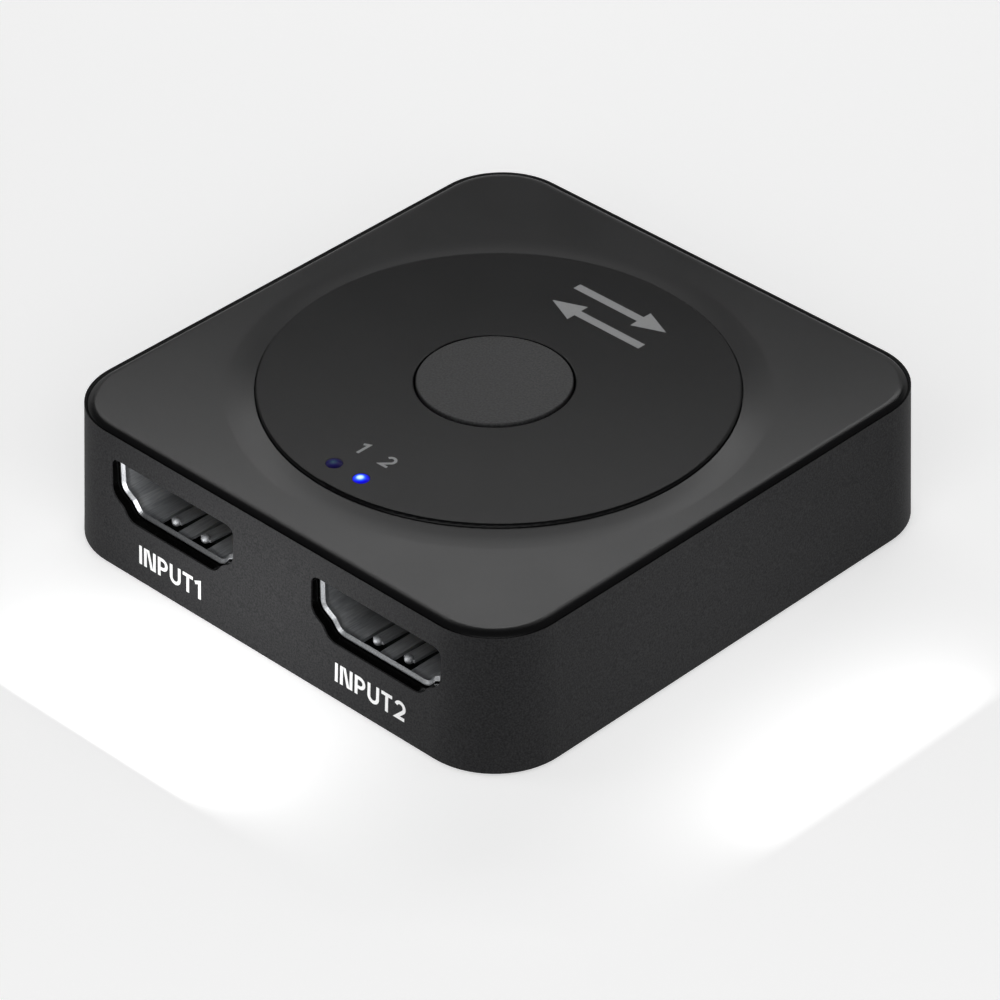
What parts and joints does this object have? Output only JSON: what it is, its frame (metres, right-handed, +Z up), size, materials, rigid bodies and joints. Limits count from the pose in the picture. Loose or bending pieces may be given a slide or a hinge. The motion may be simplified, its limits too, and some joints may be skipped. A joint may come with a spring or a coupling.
{
  "type": "video switch box",
  "caption": "Low rounded desktop video switch box with a raised round face, a push button, indicator lights, input sockets on the front and an output socket on the back.",
  "frame": {"origin": "middle of the box on the plane that its feet stand on", "axes": "+X to the right seen from the input side, +Y from the input side to the output side, +Z up"},
  "size_m": [0.054, 0.0564, 0.0147],
  "materials": {
    "case_plastic": "black plastic with a fine spark-eroded grain",
    "cover_plastic": "smooth satin black",
    "disc_plastic": "smooth satin black, a little darker than the cover",
    "button_plastic": "black plastic with a fine grain",
    "tape": "double-sided tape",
    "screw_steel": "zinc plated",
    "foot_rubber": "matt black",
    "switch_plastic": "moulded black",
    "spring_steel": "bright rolled strip",
    "tinned_metal": "tin plated",
    "board": "green solder resist on glass-fibre board",
    "lamp": "clear resin on a white base",
    "pipe_dark": "clear blue, unlit",
    "pipe_lit": "clear blue, lit",
    "chip_plastic": "black moulding resin",
    "capacitor_body": "tan fired body",
    "resistor_body": "black glaze",
    "shell_metal": "nickel plated sheet",
    "insulator_plastic": "moulded black",
    "contact_gold": "gold plated"
  },
  "bodies": {
    "housing": {"bottom_case": "case_plastic", "top_cover": "cover_plastic", "face_disc": "disc_plastic", "disc_adhesive": "tape", "case_screws": "screw_steel", "rubber_feet": "foot_rubber", "switch_base": "switch_plastic", "switch_frame": "spring_steel", "switch_dome": "spring_steel", "switch_terminals": "tinned_metal", "circuit_board": "board", "board_screws": "screw_steel", "led_1": "lamp", "led_2": "lamp", "light_pipe_1": "pipe_dark", "light_pipe_2": "pipe_lit", "switch_chip": "chip_plastic", "chip_leads": "tinned_metal", "guard_arrays": "chip_plastic", "capacitors": "capacitor_body", "resistors": "resistor_body", "input_1_shell": "shell_metal", "input_1_insulator": "insulator_plastic", "input_1_contacts": "contact_gold", "input_2_shell": "shell_metal", "input_2_insulator": "insulator_plastic", "input_2_contacts": "contact_gold", "output_shell": "shell_metal", "output_insulator": "insulator_plastic", "output_contacts": "contact_gold"},
    "button": {"button_cap": "button_plastic"},
    "plunger": {"switch_plunger": "switch_plastic"}
  },
  "joints": [
    {"name": "button_press", "type": "slide", "parent": "housing", "child": "button", "axis": [0, 0, -1], "range_m": [0, 0.0003], "stiffness_N_per_m": 2000},
    {"name": "plunger_slide", "type": "slide", "parent": "housing", "child": "plunger", "axis": [0, 0, -1], "range_m": [0, 0.0003], "deforming": ["switch_dome"]}
  ],
  "couplings": [
    {"joint": "plunger_slide", "follows": "button_press", "ratio": 1}
  ]
}
